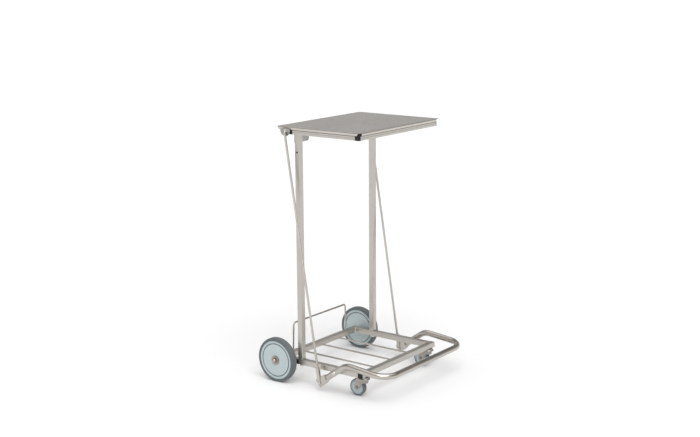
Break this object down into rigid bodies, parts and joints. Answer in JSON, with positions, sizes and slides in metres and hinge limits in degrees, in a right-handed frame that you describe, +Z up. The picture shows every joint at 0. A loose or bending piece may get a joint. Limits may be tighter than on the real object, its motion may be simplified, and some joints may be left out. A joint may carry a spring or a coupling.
{
  "type": "pedal lid sack trolley",
  "caption": "Wheeled tubular stainless steel stand that holds a waste or laundry sack in a square ring, with a flat hinged lid raised by a foot pedal loop through push rods.",
  "frame": {"origin": "middle of the footprint (pedal bar to rear wheels, cap nut to cap nut) on the floor", "axes": "+Z up, -Y towards the foot pedal, +X to the right as seen from the pedal side"},
  "size_m": [0.6832, 0.7, 1.142],
  "materials": {
    "brushed_stainless": "brushed",
    "polished_fasteners": "polished",
    "black_plastic": "moulded, fine grain",
    "grey_wheel_plastic": "satin",
    "grey_tyre_rubber": "smooth non-marking rubber",
    "white_nylon": "satin"
  },
  "bodies": {
    "frame": {"side_rail_left": "brushed_stainless", "side_rail_right": "brushed_stainless", "front_rail": "brushed_stainless", "rear_rail": "brushed_stainless", "front_rail_plugs": "black_plastic", "rear_rail_plugs": "black_plastic", "rail_cover_plugs": "black_plastic", "deck_rod_left": "brushed_stainless", "deck_rod_centre": "brushed_stainless", "deck_rod_right": "brushed_stainless", "guard_wire": "brushed_stainless", "rod_wear_plates": "brushed_stainless", "post_left": "brushed_stainless", "post_right": "brushed_stainless", "post_foot_bolts": "polished_fasteners", "ring_bar_front": "brushed_stainless", "ring_bar_rear": "brushed_stainless", "ring_bar_left": "brushed_stainless", "ring_bar_right": "brushed_stainless", "ring_end_caps": "black_plastic", "hinge_bracket_left": "brushed_stainless", "hinge_bracket_right": "brushed_stainless", "hinge_bracket_bolts": "polished_fasteners", "lid_hinge_pins": "polished_fasteners", "pedal_pivot_bolts": "polished_fasteners", "pedal_spacers": "brushed_stainless", "rear_axle": "brushed_stainless", "axle_spacers": "brushed_stainless", "axle_washers": "brushed_stainless", "axle_cap_nuts": "polished_fasteners", "caster_heads": "brushed_stainless"},
    "lid": {"lid_sheet": "brushed_stainless", "lid_rivets": "polished_fasteners", "lid_hinge_lug_left": "brushed_stainless", "lid_hinge_lug_right": "brushed_stainless", "lid_ear_left": "brushed_stainless", "lid_ear_right": "brushed_stainless"},
    "pedal": {"pedal_tube": "brushed_stainless", "pedal_rod_pins": "polished_fasteners"},
    "push_rod_left_link": {"push_rod_left": "brushed_stainless", "rod_clevis_left": "brushed_stainless", "rod_end_washer_left": "polished_fasteners"},
    "rear_wheel_left": {"rear_tyre_left": "grey_tyre_rubber", "rear_wheel_disc_left": "grey_wheel_plastic", "rear_wheel_bush_left": "white_nylon"},
    "caster_left": {"caster_fork_left": "brushed_stainless", "caster_axle_left": "polished_fasteners"},
    "caster_wheel_left": {"caster_tyre_left": "grey_tyre_rubber", "caster_hub_left": "grey_wheel_plastic"},
    "push_rod_right_link": {"push_rod_right": "brushed_stainless", "rod_clevis_right": "brushed_stainless", "rod_end_washer_right": "polished_fasteners"},
    "rear_wheel_right": {"rear_tyre_right": "grey_tyre_rubber", "rear_wheel_disc_right": "grey_wheel_plastic", "rear_wheel_bush_right": "white_nylon"},
    "caster_right": {"caster_fork_right": "brushed_stainless", "caster_axle_right": "polished_fasteners"},
    "caster_wheel_right": {"caster_tyre_right": "grey_tyre_rubber", "caster_hub_right": "grey_wheel_plastic"}
  },
  "joints": [
    {"name": "lid_hinge", "type": "hinge", "parent": "frame", "child": "lid", "pos_m": [0, 0.216, 1.129], "axis": [-1, 0, 0], "range_deg": [0, 55]},
    {"name": "pedal_pivot", "type": "hinge", "parent": "frame", "child": "pedal", "pos_m": [0, -0.07, 0.1], "axis": [1, 0, 0], "range_deg": [0, 14.3]},
    {"name": "rod_swing_left", "type": "hinge", "parent": "pedal", "child": "push_rod_left_link", "pos_m": [-0.305, 0.017, 0.037], "axis": [-1, 0, 0], "range_deg": [0, 13.7]},
    {"name": "rear_wheel_spin_left", "type": "hinge", "parent": "frame", "child": "rear_wheel_left", "pos_m": [-0.3083, 0.25, 0.1], "axis": [1, 0, 0], "continuous": true},
    {"name": "caster_swivel_left", "type": "hinge", "parent": "frame", "child": "caster_left", "pos_m": [-0.248, -0.1845, 0.0792], "axis": [0, 0, 1], "continuous": true},
    {"name": "caster_wheel_spin_left", "type": "hinge", "parent": "caster_left", "child": "caster_wheel_left", "pos_m": [-0.248, -0.1505, 0.0375], "axis": [1, 0, 0], "continuous": true},
    {"name": "rod_swing_right", "type": "hinge", "parent": "pedal", "child": "push_rod_right_link", "pos_m": [0.305, 0.017, 0.037], "axis": [-1, 0, 0], "range_deg": [0, 13.7]},
    {"name": "rear_wheel_spin_right", "type": "hinge", "parent": "frame", "child": "rear_wheel_right", "pos_m": [0.3083, 0.25, 0.1], "axis": [1, 0, 0], "continuous": true},
    {"name": "caster_swivel_right", "type": "hinge", "parent": "frame", "child": "caster_right", "pos_m": [0.248, -0.1845, 0.0792], "axis": [0, 0, 1], "continuous": true},
    {"name": "caster_wheel_spin_right", "type": "hinge", "parent": "caster_right", "child": "caster_wheel_right", "pos_m": [0.248, -0.1505, 0.0375], "axis": [1, 0, 0], "continuous": true}
  ],
  "couplings": [
    {"joint": "pedal_pivot", "follows": "lid_hinge", "ratio": 0.259},
    {"joint": "rod_swing_left", "follows": "lid_hinge", "ratio": 0.2485},
    {"joint": "rod_swing_right", "follows": "lid_hinge", "ratio": 0.2485}
  ]
}
